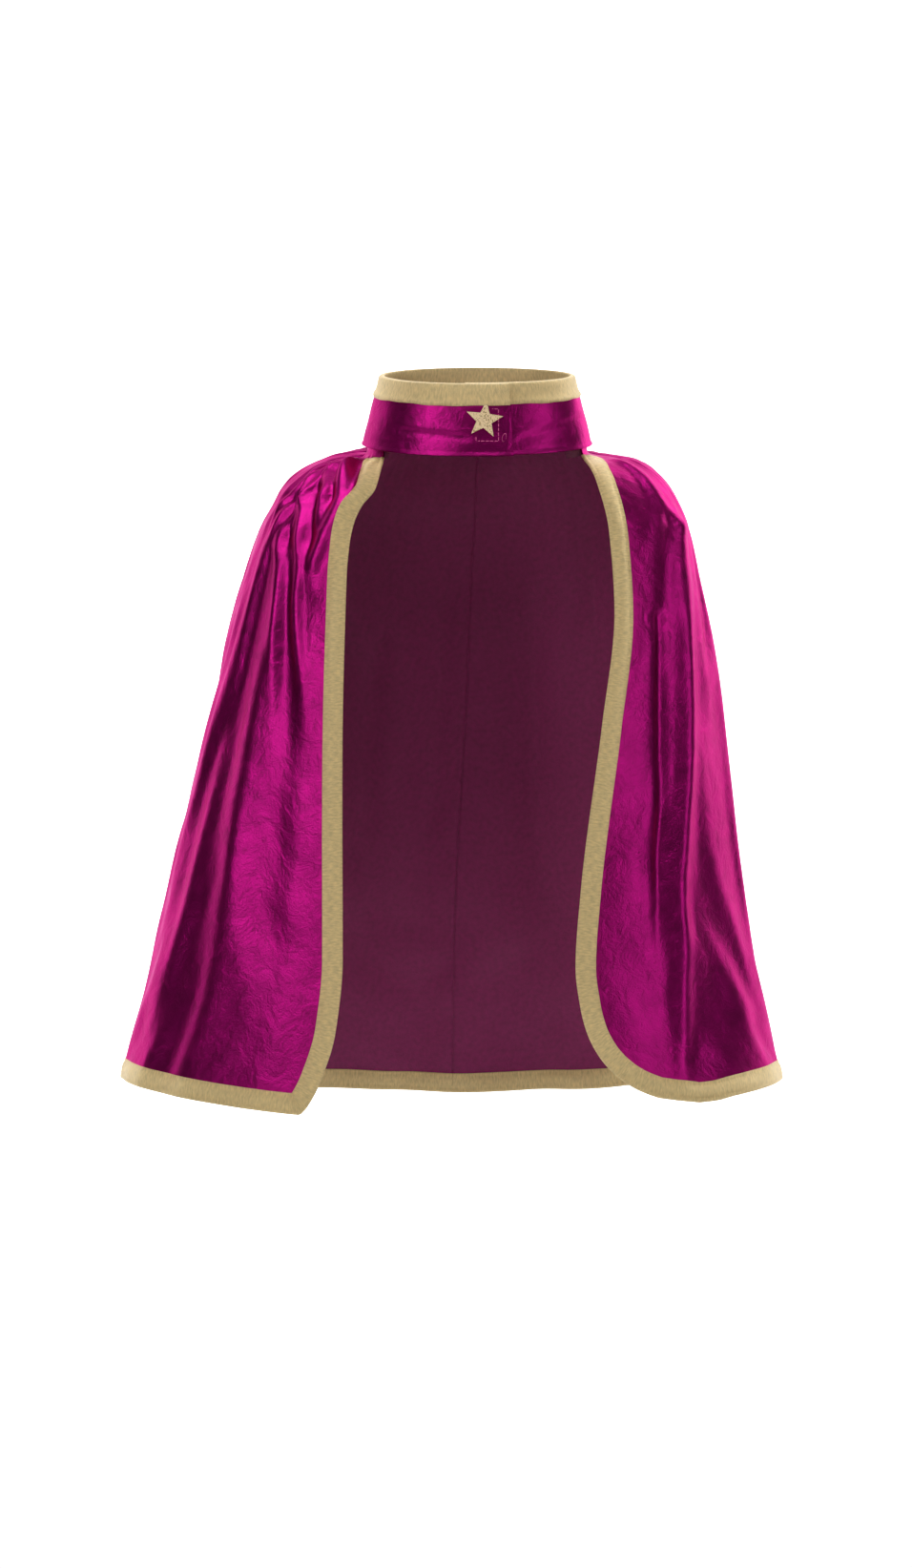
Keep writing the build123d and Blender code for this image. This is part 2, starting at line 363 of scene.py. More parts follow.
def smoothLine(xs, ys, at):
    # a smooth curve through given points that never runs past them
    xs, ys = np.asarray(xs, float), np.asarray(ys, float)
    step = np.diff(xs)
    slope = np.diff(ys) / step
    tangent = np.empty(len(xs))
    tangent[0], tangent[-1] = slope[0], slope[-1]
    a, b = slope[:-1], slope[1:]
    same = a * b > 0
    tangent[1:-1] = np.where(same, 2 * a * b / np.where(same, a + b, 1), 0)
    i = np.clip(np.searchsorted(xs, at) - 1, 0, len(step) - 1)
    u = np.clip((at - xs[i]) / step[i], 0, 1)
    h = step[i]
    return (
        ys[i] * (1 + 2 * u) * (1 - u) ** 2
        + tangent[i] * h * u * (1 - u) ** 2
        + ys[i + 1] * u * u * (3 - 2 * u)
        + tangent[i + 1] * h * u * u * (u - 1)
    )


cape = {
    # drop, half width, half depth, centre x and centre y in mm, and tilt in degrees
    "levels": [
        (-6, 73.4, 51.4, 0, 0, 13),  # sewn in behind the collar
        (3, 75.6, 53.6, 0, 0, 13), (7, 105, 64, 2, 0, 12), (13, 118, 69, 1, 0, 10), (23, 130.5, 75, 0, 1, 8),
        (39, 140.5, 82, -0.5, 2, 5), (55, 147.5, 88, -1.5, 3, 3), (74, 152.5, 92, -3, 4, 1.5),
        (104, 158.5, 96, -4.5, 5, 0), (153, 168, 101, -6, 6, 0), (218, 179, 107, -10, 8, 0),
        (283, 191, 112, -14, 9, 0), (348, 203.5, 117, -16.5, 10, 0), (413, 218.5, 122, -16.5, 11, 0),
        (470, 233, 127, -17, 12, 0),
    ],
    "rightEdge": [  # z, x of the wearer's right front edge
        (-445.2, -117), (-441, -113), (-424, -104), (-391, -94), (-344, -89.5), (-218, -90), (-93, -87.5),
        (-69, -85.5), (-55, -82.5), (-43, -77), (-33, -69), (-20, -65.5), (-8, -63.5), (0, -63), (30, -63),
    ],
    "leftEdge": [  # the wearer's left one, with its rounded corner
        (-439.2, 147), (-435, 119), (-422, 94), (-407, 80), (-391, 72), (-375, 68), (-350, 65), (-300, 68.5),
        (-190, 83), (-115, 91.5), (-60, 88), (-26, 80), (0, 70), (30, 68),
    ],
    "hemLow": (-449, -16, 1356),  # lowest z, its x, and the radius of the hem's curve
    "columns": 420,
    "rows": 230,
    "thickness": 0.0012,
    "gathers": {"count": 40, "depth": 1.5, "reach": 71, "sewnIn": 9},
    "foldRun": 460,  # the folds are fully grown this far down the cloth, in mm
    # side, half width as a share of the half cloth, height in mm, run where it starts, drift by the hem
    "folds": [
        (-0.945, 0.026, 1.5, 90, 0.01), (-0.865, 0.036, 3.0, 60, 0.045), (-0.775, 0.030, 2.2, 50, 0.06),
        (-0.690, 0.040, 3.4, 60, 0.02), (-0.560, 0.034, 4.4, 20, -0.02), (-0.430, 0.040, 6.2, 70, 0.02),
        (-0.300, 0.034, 5.4, 30, -0.03), (-0.170, 0.042, 6.4, 80, 0.02), (-0.045, 0.036, 5.6, 40, -0.02),
        (0.090, 0.040, 6.4, 70, 0.02), (0.215, 0.036, 5.2, 30, 0.03), (0.345, 0.042, 6.0, 90, -0.02),
        (0.470, 0.036, 4.8, 40, 0.02), (0.590, 0.038, 3.4, 60, 0.01),
    ],
    # x and z down each ridge seen from the front, half width and height in mm; a hollow's height is negative
    "ridges": [
        ([(-85, -6), (-89, -28), (-94, -46), (-103, -68), (-111, -91)], 5.5, 5.8),
        ([(-92, -5), (-101, -22), (-104, -40), (-107, -58)], 3.6, 3.2),
        ([(-100, -5), (-113, -20), (-119, -45), (-118, -72), (-121, -113), (-117, -163)], 4.2, 3.8),
        ([(-108, -4), (-126, -18), (-134, -38), (-136, -69), (-134, -86), (-136, -163)], 4.6, 3.8),
        ([(-80, -10), (-82, -26), (-86, -40)], 3.2, -3.0),
        ([(-95, -14), (-96.5, -30), (-99, -44)], 2.8, -3.0),
        ([(-109, -26), (-111, -50), (-112, -72)], 4.0, -3.6),
        ([(-127, -34), (-130, -58), (-130, -74)], 4.0, -3.2),
        ([(79, 1), (96, -10), (113, -22), (128, -45), (137, -56)], 4.8, 3.2),
        ([(138, -52), (135.5, -68), (139, -120), (140.5, -186), (134, -300), (136, -400)], 6.5, 4.6),
        ([(121.5, -112), (122, -186), (119, -320)], 4.0, -2.6),
    ],
    "crumples": {"count": 44, "height": 1.3, "size": (6, 16), "long": 3.2, "clothWidth": 420},
    "calmEdge": {"from": 0.90, "full": 0.99, "share": 0.78},  # the binding stiffens the edges
    "seed": 7,
}


def profileLength():
    rows = np.array(cape["levels"], float)
    step = np.hypot(np.diff(rows[:, 0]), (np.diff(rows[:, 1]) + np.diff(rows[:, 2])) / 2)
    return rows, np.concatenate([[0], np.cumsum(step)])


def hemHeight(x):
    low, middle, radius = cape["hemLow"]
    return low + (x - middle) ** 2 / (2 * radius)


def bareShape(side, down):
    # side runs -1 to 1 from the wearer's right front edge round the back to the left one
    # down is 0 at the neck and 1 at the hem
    rows, lengths = profileLength()
    right, left = np.array(cape["rightEdge"], float), np.array(cape["leftEdge"], float)
    total = np.full_like(side, lengths[-2])
    for _ in range(8):
        run = down * total
        drop, wide, deep, midX, midY, tilt = (smoothLine(lengths, rows[:, k], run) for k in range(6))
        tilt = np.radians(tilt)
        angle = side * math.pi * 0.75
        for _ in range(6):
            z = -drop + deep * np.cos(angle) * np.sin(tilt)
            edgeL = smoothLine(left[:, 0], left[:, 1], z)
            edgeR = smoothLine(right[:, 0], right[:, 1], z)
            toLeft = math.pi - np.arcsin(np.clip((edgeL - midX) / wide, -1, 1))
            toRight = math.pi - np.arcsin(np.clip((midX - edgeR) / wide, -1, 1))
            angle = np.where(side > 0, side * toLeft, side * toRight)
        x = midX + wide * np.sin(angle)
        y = midY + deep * np.cos(angle) * np.cos(tilt)
        z = -drop + deep * np.cos(angle) * np.sin(tilt)
        # the run to the hem, found where this column's own foot meets the hem line
        foot = x[:, -1:]
        want = np.broadcast_to(-hemHeight(foot), total.shape)
        total = smoothLine(rows[:, 0], lengths, want)
    return np.stack([x, y, z], -1), run


def surfaceNormals(points):
    along = np.gradient(points, axis=0)
    down = np.gradient(points, axis=1)
    normal = np.cross(down, along)
    return normal / (np.linalg.norm(normal, axis=-1, keepdims=True) + 1e-9)


def outwardNormals(points):
    normal = surfaceNormals(points)
    facing = (normal * points)[..., :2].sum(-1).mean()
    return normal * np.sign(facing)


def crease(phase, sharp):
    # rounded hollows between sharper ridges, from -1 to 1
    return 2 * (1 - np.abs(np.sin(phase / 2))) ** sharp - 0.75


def smoothStep(value, low, high):
    u = np.clip((value - low) / (high - low), 0, 1)
    return u * u * (3 - 2 * u)


def gatherHeight(side, run, random):
    gathers = cape["gathers"]
    # the wearer's right shoulder is gathered harder than the left one
    rightPull = 0.8 + 1.3 * smoothStep(-side, 0.5, 0.92)
    leftPull = 0.8 - 0.5 * smoothStep(side, 0.45, 0.9)
    tight = np.where(side < 0, rightPull, leftPull)
    warp = 0
    for wave in (3, 5, 8, 13, 21):
        swing = random.uniform(0.5, 1.1)
        warp = warp + swing * np.sin(side * wave + random.uniform(0, 6.28))
    uneven = 0.65 + 0.35 * np.sin(side * 23 + 1.3) * np.sin(side * 7.7)
    begun = smoothStep(run, gathers["sewnIn"] + 1, gathers["sewnIn"] + 12)
    near = begun * (1 - smoothStep(run, gathers["reach"] * 0.4, gathers["reach"] * 1.9))
    waves = crease(side * gathers["count"] * math.pi + warp * 2.6, 0.8)
    return gathers["depth"] * near * tight * uneven * waves


def longFoldHeight(side, run, height):
    # each long fold has its own width, height and lean, and is steeper on one side
    share = np.clip(run / cape["foldRun"], 0, 1)
    for place, width, tall, start, drift in cape["folds"]:
        u = (side - place - drift * share) / (width * (0.55 + 0.75 * share))
        rise = smoothStep(run, start, start + 120) * (0.55 + 0.45 * share)
        crest = np.exp(-(u**2)) * (1 + 0.45 * np.tanh(1.8 * u))
        hollow = 0.55 * np.exp(-(((u + 1.9) / 1.2) ** 2))
        height = height + tall * rise * (crest - hollow)
    # the wearer's left front lies flatter
    return height * (1 - 0.7 * smoothStep(side, 0.5, 0.75))


def frontRidgeHeight(points, height):
    x, y, z = points[..., 0], points[..., 1], points[..., 2]
    front = smoothStep(-y, 5, 30)
    for ridge, width, tall in cape["ridges"]:
        line = np.array(ridge[::-1], float)
        middle = smoothLine(line[:, 1], line[:, 0], z)
        fade = (line[-1, 1] - line[0, 1]) * 0.22
        ends = smoothStep(line[-1, 1] - z, -2, 7) * smoothStep(z - line[0, 1], -fade, fade)
        height = height + front * ends * tall * np.exp(-(((x - middle) / width) ** 2))
    return height


def crumpleHeight(side, run, height, random):
    # soft crumples that follow no line
    crumples = cape["crumples"]
    for _ in range(crumples["count"]):
        atSide, atRun = random.uniform(-1, 1), random.uniform(50, 450)
        turn, size = random.uniform(-0.9, 0.9), random.uniform(*crumples["size"])
        aside, below = (side - atSide) * crumples["clothWidth"], run - atRun
        a = aside * np.cos(turn) + below * np.sin(turn)
        b = -aside * np.sin(turn) + below * np.cos(turn)
        tall = random.uniform(-crumples["height"], crumples["height"])
        height = height + tall * np.exp(-((a / size) ** 2) - (b / (size * crumples["long"])) ** 2)
    return height


def foldHeight(side, run, points):
    random = np.random.default_rng(cape["seed"])
    height = gatherHeight(side, run, random)
    height = longFoldHeight(side, run, height)
    height = frontRidgeHeight(points, height)
    height = crumpleHeight(side, run, height, random)
    calm, sewnIn = cape["calmEdge"], cape["gathers"]["sewnIn"]
    calmEdge = 1 - calm["share"] * smoothStep(np.abs(side), calm["from"], calm["full"])
    return height * smoothStep(run, sewnIn, sewnIn + 8) * calmEdge


def makeWornGrid():
    side = np.linspace(-1, 1, cape["columns"] + 1)[:, None] * np.ones((1, cape["rows"] + 1))
    down = np.linspace(0, 1, cape["rows"] + 1)[None, :] * np.ones((cape["columns"] + 1, 1))
    points, run = bareShape(side, down)
    folded = points + outwardNormals(points) * foldHeight(side, run, points)[..., None]
    return folded / 1000, points / 1000


wornGrid, smoothGrid = makeWornGrid()
print("cape shape drawn", wornGrid.shape)


def smoothRows(rows, times):
    for _ in range(times):
        inner = (rows[:-2] + 2 * rows[1:-1] + rows[2:]) / 4
        rows = np.concatenate([rows[:1], inner, rows[-1:]])
    return rows


drape = {
    "every": 2,  # grid steps between the draped points
    "frames": 16,
    "quality": 6,
    "excess": -0.008,
    "mass": 0.004,
    "tension": 30,
    "shear": 12,
    "bending": 4.5,
    "gap": 0.001,
    "formGap": 0.0045,  # how far inside the cloth the form lies
    "neckRows": 3,
    "edgeColumns": 5,
    "hemRows": 4,
    "hemHold": 0.75,
    "soften": 3,
    "cap": 0.006,  # the furthest a point may move
    "throughLimit": 0.02,  # the most of the cloth that may move in past the form
}


def gridQuads(index):
    return np.stack([index[:-1, :-1], index[:-1, 1:], index[1:, 1:], index[1:, :-1]], -1).reshape(-1, 4)


def layUvs(mesh, uvs):
    layer = mesh.uv_layers.new(name="UVMap")
    loops = np.empty(len(mesh.loops), int)
    mesh.loops.foreach_get("vertex_index", loops)
    layer.data.foreach_set("uv", uvs.reshape(-1, 2)[loops].astype(np.float32).ravel())


def gridMesh(name, points, uvs):
    # a sheet from a grid of points; columns run round the wearer and rows run down
    n, m = points.shape[:2]
    mesh = bpy.data.meshes.new(name)
    mesh.from_pydata(points.reshape(-1, 3).tolist(), [], gridQuads(np.arange(n * m).reshape(n, m)).tolist())
    layUvs(mesh, uvs)
    mesh.shade_smooth()
    obj = bpy.data.objects.new(name, mesh)
    bpy.context.collection.objects.link(obj)
    return obj


def edgeHold(n, m):
    # how firmly each point is held: the neck and the front edges fully, the hem less
    hold = np.zeros((n, m))
    for step in range(drape["hemRows"]):
        hold[:, -1 - step] = drape["hemHold"] * (1 - step / drape["hemRows"])
    for step in range(drape["edgeColumns"]):
        weight = min(1.0, 2 * (1 - step / drape["edgeColumns"]))
        hold[step] = np.maximum(hold[step], weight)
        hold[-1 - step] = np.maximum(hold[-1 - step], weight)
    hold[:, : drape["neckRows"]] = 1.0
    return hold


def drapeCloth(points):
    # lets the cloth buckle and settle over a form, held at the neck and its bound edges
    coarse = points[:: drape["every"], :: drape["every"]]
    n, m = coarse.shape[:2]
    cloth = gridMesh("drapeCloth", coarse, clothUvs(coarse))
    pins = cloth.vertex_groups.new(name="pins")
    for vertex, weight in enumerate(edgeHold(n, m).ravel()):
        if weight:
            pins.add([vertex], float(weight), "REPLACE")
    outward = outwardNormals(coarse)
    form = gridMesh("drapeForm", coarse - outward * drape["formGap"], clothUvs(coarse))
    # a collider pushes cloth the way its own faces point, so they must face out
    if not facesOutward(form):
        form.data.flip_normals()
    form.modifiers.new("collision", "COLLISION")
    form.collision.thickness_outer = drape["gap"]
    modifier = cloth.modifiers.new("cloth", "CLOTH")
    settings = modifier.settings
    settings.quality = drape["quality"]
    settings.mass = drape["mass"]
    settings.tension_stiffness = settings.compression_stiffness = drape["tension"]
    settings.shear_stiffness = drape["shear"]
    settings.bending_stiffness = drape["bending"]
    settings.shrink_min = drape["excess"]
    settings.vertex_group_mass = "pins"
    modifier.collision_settings.distance_min = drape["gap"]
    modifier.collision_settings.use_self_collision = False
    for frameNumber in range(1, drape["frames"] + 1):
        bpy.context.scene.frame_set(frameNumber)
    settled = cloth.evaluated_get(bpy.context.evaluated_depsgraph_get()).to_mesh()
    flat = np.empty(n * m * 3)
    settled.vertices.foreach_get("co", flat)
    shift = flat.reshape(n, m, 3) - coarse
    through = float(((shift * outward).sum(-1) < -drape["formGap"]).mean())
    print(f"share of the cloth that moved in past its form: {through:.4f}")
    if through > drape["throughLimit"]:
        raise RuntimeError("the cloth fell through its form")
    for _ in range(drape["soften"]):
        shift = smoothRows(smoothRows(shift, 1).transpose(1, 0, 2), 1).transpose(1, 0, 2)
    # held back beside the binding
    inFromEdge = np.minimum(np.arange(n), np.arange(n)[::-1])
    shift = shift * (0.15 + 0.85 * smoothStep(inFromEdge, 3, 24))[:, None, None]
    size = np.linalg.norm(shift, axis=-1, keepdims=True)
    shift *= np.minimum(1, drape["cap"] / (size + 1e-9))
    usual, largest = float(np.median(size)) * 1000, float(size.max()) * 1000
    print(f"draped: usual shift {usual:.2f} mm, largest {largest:.2f} mm")
    bpy.context.scene.frame_set(1)
    for obj in (cloth, form):
        bpy.data.objects.remove(obj)
    # back to the fine grid, with the shift spread smoothly between the draped points
    fineA, fineB = np.arange(points.shape[0]), np.arange(points.shape[1])
    knotA, knotB = fineA[:: drape["every"]], fineB[:: drape["every"]]
    axes, wide = range(3), range(len(fineB))
    spread = np.stack([[smoothLine(knotB, shift[i, :, k], fineB) for i in range(n)] for k in axes], -1)
    spread = np.stack([[smoothLine(knotA, spread[:, j, k], fineA) for j in wide] for k in axes], -1)
    return points + spread.transpose(1, 0, 2)


def clothUvs(points):
    # distances along the cloth, so a pattern keeps its size
    n, m = points.shape[:2]
    around = np.cumsum(np.linalg.norm(np.diff(points, axis=0), axis=-1), 0)
    around = np.concatenate([np.zeros((1, m)), around])
    down = np.cumsum(np.linalg.norm(np.diff(points, axis=1), axis=-1), 1)
    down = np.concatenate([np.zeros((n, 1)), down], 1)
    return np.stack([around - around.mean(0), down], -1)


def thicken(obj, thickness):
    wall = obj.modifiers.new("wall", "SOLIDIFY")
    wall.thickness = thickness
    wall.offset = 0
    wall.use_even_offset = False
    wall.material_offset = 1
    selectOnly(obj)
    bpy.ops.object.modifier_apply(modifier=wall.name)


def facesOutward(obj):
    # true if the sheet's faces look away from the cape's upright middle line
    total = 0
    for face in obj.data.polygons:
        total += Vector((face.center.x, face.center.y, 0)).dot(face.normal) * face.area
    return total > 0


def makeCapeSide(name, columns, cad):
    points = wornGrid[columns]
    obj = gridMesh(name, points, clothUvs(points))
    if not facesOutward(obj):
        obj.data.flip_normals()
    obj.data.materials.append(materials["foil"])
    obj.data.materials.append(materials["wrongSide"])
    thicken(obj, cape["thickness"])
    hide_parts(*cad)
    return obj


middleColumn = cape["columns"] // 2
rightHalf, leftHalf = slice(0, middleColumn + 1), slice(middleColumn, None)
wornGrid = drapeCloth(wornGrid)
capeRight = makeCapeSide("capeRight", rightHalf, ["right_back_panel", "right_front_panel"])
capeLeft = makeCapeSide("capeLeft", leftHalf, ["left_back_panel", "left_front_panel"])
print("cape cloth made", len(capeRight.data.polygons) + len(capeLeft.data.polygons), "faces")


# ---------- gold binding, folded over the cape's raw edges

binding = {
    "spacing": 0.0017,
    "skipRows": 4,  # the strip's top is sewn in under the collar
    "evenOut": 6,
    # across from the raw edge, height over the cloth's middle, in mm; low at the two stitch rows
    "section": [
        (13, 0.7), (12.6, 1.25), (11.3, 1.0), (10, 1.4), (8.3, 1.65), (6.5, 1.7), (4.8, 1.6), (3.2, 1.4),
        (1.9, 1.05), (0.6, 1.35), (-0.5, 0.9), (-0.95, 0), (-0.5, -0.9), (0.6, -1.35), (1.9, -1.05),
        (3.2, -1.4), (4.8, -1.55), (6.5, -1.6), (8.3, -1.55), (10, -1.4), (11.3, -1.0), (12.6, -1.25),
        (13, -0.7),
    ],
    "crown": 5,  # the section's highest point
}


def evenPath(path, spacing):
    step = np.linalg.norm(np.diff(path, axis=0), axis=1)
    length = np.concatenate([[0], np.cumsum(step)])
    count = max(8, int(length[-1] / spacing))
    at = np.linspace(0, length[-1], count)
    return np.stack([np.interp(at, length, path[:, k]) for k in range(3)], 1), at


def readGrid(grid, spots):
    # values between grid points, at fractional columns and rows
    i = np.clip(spots[:, 0].astype(int), 0, grid.shape[0] - 2)
    j = np.clip(spots[:, 1].astype(int), 0, grid.shape[1] - 2)
    u, v = (spots[:, 0] - i)[:, None], (spots[:, 1] - j)[:, None]
    top = grid[i, j] * (1 - u) + grid[i + 1, j] * u
    return top * (1 - v) + (grid[i, j + 1] * (1 - u) + grid[i + 1, j + 1] * u) * v


def spotsOn(tree, grid, places):
    # the fractional column and row of the grid nearest to each place
    spots = []
    for place in places:
        hit, _, face, _ = tree.find_nearest(Vector(place))
        i, j = divmod(face, grid.shape[1] - 1)
        sides = np.stack([grid[i + 1, j] - grid[i, j], grid[i, j + 1] - grid[i, j]], 1)
        inside = np.linalg.lstsq(sides, np.array(hit) - grid[i, j], rcond=None)[0]
        spots.append((i, j) + np.clip(inside, 0, 1))
    return np.array(spots)


def makeBinding(name, smooth, worn, frontColumn, cad):
    # the strip is measured out on the smooth shape, then laid on the same places of the draped cloth
    n, m = smooth.shape[:2]
    quads = gridQuads(np.arange(n * m).reshape(n, m))
    tree = BVHTree.FromPolygons([Vector(p) for p in smooth.reshape(-1, 3)], quads.tolist())
    path, at = evenPath(edgePath(smooth, frontColumn), binding["spacing"])
    tangent = smoothRows(np.gradient(path, axis=0), 3)
    tangent /= np.linalg.norm(tangent, axis=1, keepdims=True)
    edge = spotsOn(tree, smooth, path)
    inward = np.cross(tangent, readGrid(outwardNormals(smooth), edge))
    if (inward * (smooth.reshape(-1, 3).mean(0) - path)).sum(1).mean() < 0:
        inward = -inward
    inward = smoothRows(inward, binding["evenOut"])
    inward /= np.linalg.norm(inward, axis=1, keepdims=True)
    up = outwardNormals(worn)
    base = readGrid(worn, edge)
    away = base - readGrid(worn, spotsOn(tree, smooth, path + inward * 0.002))
    away = smoothRows(away / (np.linalg.norm(away, axis=1, keepdims=True) + 1e-9), binding["evenOut"])
    rows, uvRows = [], []
    around, last = 0.0, None
    for across, height in binding["section"]:
        if last:
            around += math.hypot(across - last[0], height - last[1]) / 1000
        last = (across, height)
        spots = spotsOn(tree, smooth, path + inward * across / 1000) if across > 0 else edge
        lift = readGrid(up, spots)
        lift /= np.linalg.norm(lift, axis=1, keepdims=True) + 1e-9
        rows.append(readGrid(worn, spots) + lift * height / 1000 + away * max(-across, 0) / 1000)
        uvRows.append(np.stack([at, np.full(len(at), around)], 1))
    obj = gridMesh(name, np.array(rows).transpose(1, 0, 2), np.array(uvRows).transpose(1, 0, 2))
    obj.data.materials.append(materials["lameTape"])
    if not stripFacesUp(obj, rows):
        obj.data.flip_normals()
    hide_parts(*cad)
    return obj


def stripFacesUp(obj, rows):
    # true if the strip's upper face looks away from the cloth beneath it
    crown, perStep = binding["crown"], len(rows) - 1
    total = 0.0
    for k in range(5, len(rows[crown]) - 1, 25):
        face = obj.data.polygons[k * perStep + crown]
        total += float(np.array(face.normal) @ (rows[crown][k] - rows[-1 - crown][k]))
    return total > 0


def edgePath(points, frontColumn):
    # down the front edge, then round the hem to the centre back
    front = points[frontColumn][binding["skipRows"] :]
    hem = points[:, -1]
    hem = hem if frontColumn == 0 else hem[::-1]
    return np.concatenate([front, hem[1:]])


bindingRight = makeBinding(
    "bindingRight", smoothGrid[rightHalf], wornGrid[rightHalf], 0,
    ["right_front_binding", "right_neck_binding", "right_hem_binding"],
)
bindingLeft = makeBinding(
    "bindingLeft", smoothGrid[leftHalf], wornGrid[leftHalf], -1,
    ["left_front_binding", "left_neck_binding", "left_hem_binding"],
)
print("bindings laid")


# ---------- collar

collar = {
    "halfWidth": 0.079,
    "halfDepth": 0.057,
    "height": 0.049,
    "lower": 0.003,
    "lean": 0.013,
    "tilt": 13.0,
    "step": 0.0052,  # the lapping end runs this much further forward
    "thickness": 0.0024,
    "overlapEnd": 0.0225,
    "underlapEnd": -0.009,
    "bindingDrop": 0.013,
    "columns": 190,
    "heights": 34,
    "belly": 0.0004,
    # side, start x and height, end x and height, half width, growth, in mm
    "creases": [
        (-1, -54, 17.8, -4, 14.7, 2.4, -0.8), (-1, -54, 22.5, -8, 19.5, 2.2, 0.35),
        (-1, -70, 9, -40, 12, 2.0, -0.5), (-1, 19.5, 5, 21, 34, 1.6, 0.45), (1, 25, 11, 74, 24, 2.6, -0.9),
        (1, 25, 17, 70, 30, 2.4, 0.4), (1, 30, 5, 66, 9, 2.0, -0.5),
    ],
    "wobble": 0.0003,  # of the binding's lower edge
}


def collarPoint(angle, height, step, grow):
    # angle 0 is the centre back; the lapping side steps forward in front only
    ahead = smoothStep(-np.cos(angle), 0.15, 0.75)
    lean = collar["lean"] * height / collar["height"]
    wide = collar["halfWidth"] - lean + grow
    deep = collar["halfDepth"] + step * ahead - lean + grow
    x, y = wide * np.sin(angle), deep * np.cos(angle)
    turn = math.radians(collar["tilt"])
    forward = y * math.cos(turn) - height * math.sin(turn)
    upward = y * math.sin(turn) + height * math.cos(turn)
    return np.stack([x, forward, upward], -1)


def collarCrease(side, angle, height):
    # how far the soft creases lift the collar's outer face, in metres
    x = (collar["halfWidth"] - collar["lean"] * height / collar["height"]) * np.sin(angle) * 1000
    ahead = smoothStep(-np.cos(angle), 0.1, 0.4)
    h = height * 1000
    grow = 0.25 * np.sin(angle * 9 + h * 0.16 + side) * np.sin(angle * 4.3 - h * 0.11)
    for creaseSide, x0, h0, x1, h1, width, tall in collar["creases"]:
        if creaseSide == side:
            length = math.hypot(x1 - x0, h1 - h0)
            along = ((x - x0) * (x1 - x0) + (h - h0) * (h1 - h0)) / length
            away = ((x - x0) * (h1 - h0) - (h - h0) * (x1 - x0)) / length
            ends = smoothStep(along, -5, 6) * smoothStep(length - along, -5, 6)
            grow = grow + ahead * ends * tall * np.exp(-((away / width) ** 2))
    return grow * smoothStep(height, collar["lower"], collar["lower"] + 0.004) / 1000


def collarRows(side, endX, step, section, creased):
    # sweeps a closed section, (height, growth) pairs in metres, round one half of the collar
    # the band is creased, and the binding's lower edge wavers
    section, columns = np.array(section), collar["columns"]
    reach = math.pi - side * math.asin(endX / (collar["halfWidth"] - 0.006))
    angle = side * np.linspace(0, reach, columns)
    covered = collar["height"] - collar["bindingDrop"]
    rows = []
    for height, grow in section:
        if creased:
            lift = collarCrease(side, angle, height) if grow > -0.0003 and height < covered else 0
            rows.append(collarPoint(angle, height, step, grow + lift))
        else:
            lower = 1 - smoothStep(abs(height - covered), 0.003, 0.006)
            waver = np.sin(angle * 7 + side) + 0.5 * np.sin(angle * 19 + 2 * side)
            rows.append(collarPoint(angle, height + collar["wobble"] * lower * waver, step, grow))
    along = np.repeat((angle * 0.065)[:, None], len(section), 1)
    around = np.concatenate([[0], np.cumsum(np.linalg.norm(np.diff(section, axis=0), axis=1))])
    around = np.repeat(around[None], columns, 0)
    return np.array(rows).transpose(1, 0, 2), np.stack([along, around], -1)


def closedSweep(name, points, uvs):
    # joins the section's last point to its first and caps both ends
    n, m = points.shape[:2]
    mesh = bpy.data.meshes.new(name)
    index = np.arange(n * m).reshape(n, m)
    faces = gridQuads(np.concatenate([index, index[:, :1]], 1)).tolist()
    faces += [index[0].tolist(), index[-1][::-1].tolist()]
    mesh.from_pydata(points.reshape(-1, 3).tolist(), [], faces)
    layUvs(mesh, uvs)
    obj = bpy.data.objects.new(name, mesh)
    bpy.context.collection.objects.link(obj)
    selectOnly(obj)
    bpy.ops.object.mode_set(mode="EDIT")
    bpy.ops.mesh.select_all(action="SELECT")
    bpy.ops.mesh.normals_make_consistent(inside=False)
    bpy.ops.object.mode_set(mode="OBJECT")
    bpy.ops.object.shade_smooth_by_angle(angle=math.radians(50))
    return obj


def makeCollarHalf(name, side, endX, step, cad):
    low, high, thick = collar["lower"], collar["height"], collar["thickness"]
    heights = np.linspace(low + 0.0022, high - 0.0004, collar["heights"])
    belly = collar["belly"] * np.sin(np.linspace(0, math.pi, collar["heights"]))
    # the foil is turned under along the lower edge, in a small roll
    section = [
        (low + 0.0006, -thick), (low, -thick * 0.6), (low - 0.0003, -0.0004),
        (low + 0.0002, 0.0005), (low + 0.0010, 0.0006),
    ]
    section += list(zip(heights, belly))
    section += [(height, -thick) for height in heights[::-4]]
    points, uvs = collarRows(side, endX, step, section, creased=True)
    obj = closedSweep(name, points, uvs)
    obj.data.materials.append(materials["foil"])
    obj.data.materials.append(materials["lame"])
    # the inner face is the gold facing
    for face in obj.data.polygons:
        out = Vector((face.center.x, face.center.y + 0.01, 0))
        if face.normal.dot(out) < 0 and abs(face.normal.z) < 0.8:
            face.material_index = 1
    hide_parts(*cad)
    return obj


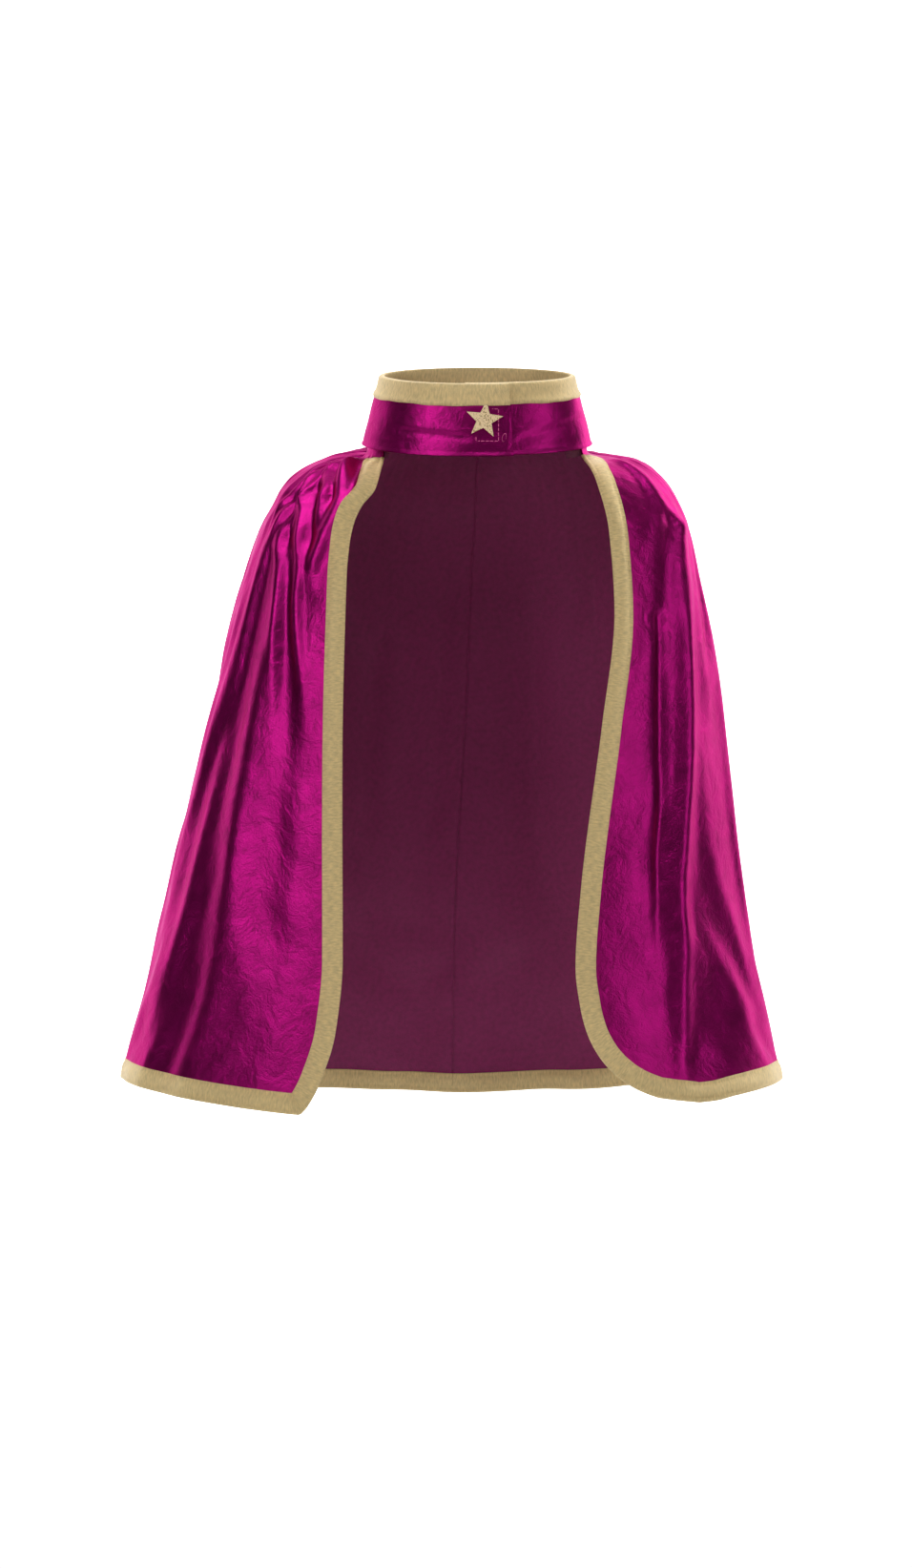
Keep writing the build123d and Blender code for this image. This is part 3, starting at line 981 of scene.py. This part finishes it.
def makeCollarBinding(name, side, endX, step, cad):
    # pressed flat above, with a plump rolled lower edge outside
    high, thick = collar["height"], collar["thickness"]
    foot = high - collar["bindingDrop"]
    section = [
        (foot, 0.0001), (foot - 0.0003, 0.0008), (foot + 0.0009, 0.0016), (foot + 0.0024, 0.0015),
        (foot + 0.0036, 0.0008), (foot + 0.006, 0.0006), (high - 0.003, 0.0007), (high, 0.0008),
        (high + 0.0008, 0.0), (high + 0.0009, -thick), (high, -thick - 0.0008),
        (foot + 0.004, -thick - 0.0007), (foot, -thick - 0.0006), (foot, -thick + 0.0002),
    ]
    past = 0.0003 if side < 0 else -0.0003
    points, uvs = collarRows(side, endX + past, step, section, creased=False)
    obj = closedSweep(name, points, uvs)
    obj.data.materials.append(materials["lame"])
    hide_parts(*cad)
    return obj


def nodesOf(places, *pieces):
    return [f"collar_{place}_{piece}" for place in places for piece in pieces]


outerNodes = nodesOf(["back", "overlap"], "band", "stiffener", "facing")
innerNodes = nodesOf(["underlap"], "band", "stiffener", "facing")
outerEdge = nodesOf(["back", "overlap"], "binding")
innerEdge = nodesOf(["underlap"], "binding")
lapEnd, underEnd, lapStep = collar["overlapEnd"], collar["underlapEnd"], collar["step"]
collarRight = makeCollarHalf("collarRight", -1, lapEnd, lapStep, outerNodes)
collarLeft = makeCollarHalf("collarLeft", 1, underEnd, 0, innerNodes)
collarBindingRight = makeCollarBinding("collarBindingRight", -1, lapEnd, lapStep, outerEdge)
collarBindingLeft = makeCollarBinding("collarBindingLeft", 1, underEnd, 0, innerEdge)
print("collar made")


# ---------- a loose loop of the stitching's thread

thread = {
    "place": (17.8, 1.8),  # x and z in mm
    "turn": (math.radians(97), 0.25, 0.2),
    "radius": 0.0027,
    "thickness": 0.00024,
    "narrow": 0.5,
    "stand": 0.0005,  # how far off the collar it lies
}


def collarFrontY(x, z, step):
    # how far forward the lapping end's outer face is at a place in the front view, in metres
    turn, height = math.radians(collar["tilt"]), 0.0
    for _ in range(8):
        lean = collar["lean"] * height / collar["height"]
        wide, deep = collar["halfWidth"] - lean, collar["halfDepth"] + step - lean
        forward = -deep * math.sqrt(1 - (x / wide) ** 2)
        height = (z - forward * math.sin(turn)) / math.cos(turn)
    return forward * math.cos(turn) - height * math.sin(turn)


def makeThreadLoop():
    x, z = (value / 1000 for value in thread["place"])
    y = collarFrontY(x, z, collar["step"]) - thread["stand"]
    clearSelection()
    bpy.ops.mesh.primitive_torus_add(
        major_segments=36, minor_segments=8, major_radius=thread["radius"], minor_radius=thread["thickness"],
        location=(x, y, z), rotation=thread["turn"],
    )
    obj = bpy.context.object
    obj.name = "threadLoop"
    obj.scale = (thread["narrow"], 1, 1)
    bpy.ops.object.transform_apply(location=True, rotation=True, scale=True)
    bpy.ops.object.shade_smooth()
    obj.data.materials.append(materials["thread"])
    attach(obj, "overlap_end")
    return obj


threadLoop = makeThreadLoop()
print("thread loop made")


# ---------- the frame's own small pieces keep their shape and get their finish

finishes = {
    "collar_star": "glitter", "hook_patch": "hooks", "loop_patch": "loops", "hook_stitching": "thread",
    "loop_stitching": "thread", "neck_tape": "tape", "care_label": "label",
}
for node, finish in finishes.items():
    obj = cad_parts[node]
    for materialSlot in obj.material_slots:
        materialSlot.material = materials[finish]


# ---------- the placement of the cape fronts, their bindings and the collar halves baked into their meshes

fronts = {"right_front": (capeRight, bindingRight), "left_front": (capeLeft, bindingLeft)}
collarEnds = {
    "overlap_end": (collarRight, collarBindingRight),
    "underlap_end": (collarLeft, collarBindingLeft),
}
for body, pieces in fronts.items():
    for obj in pieces:
        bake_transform(obj)
for body, pieces in collarEnds.items():
    for obj in pieces:
        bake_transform(obj)
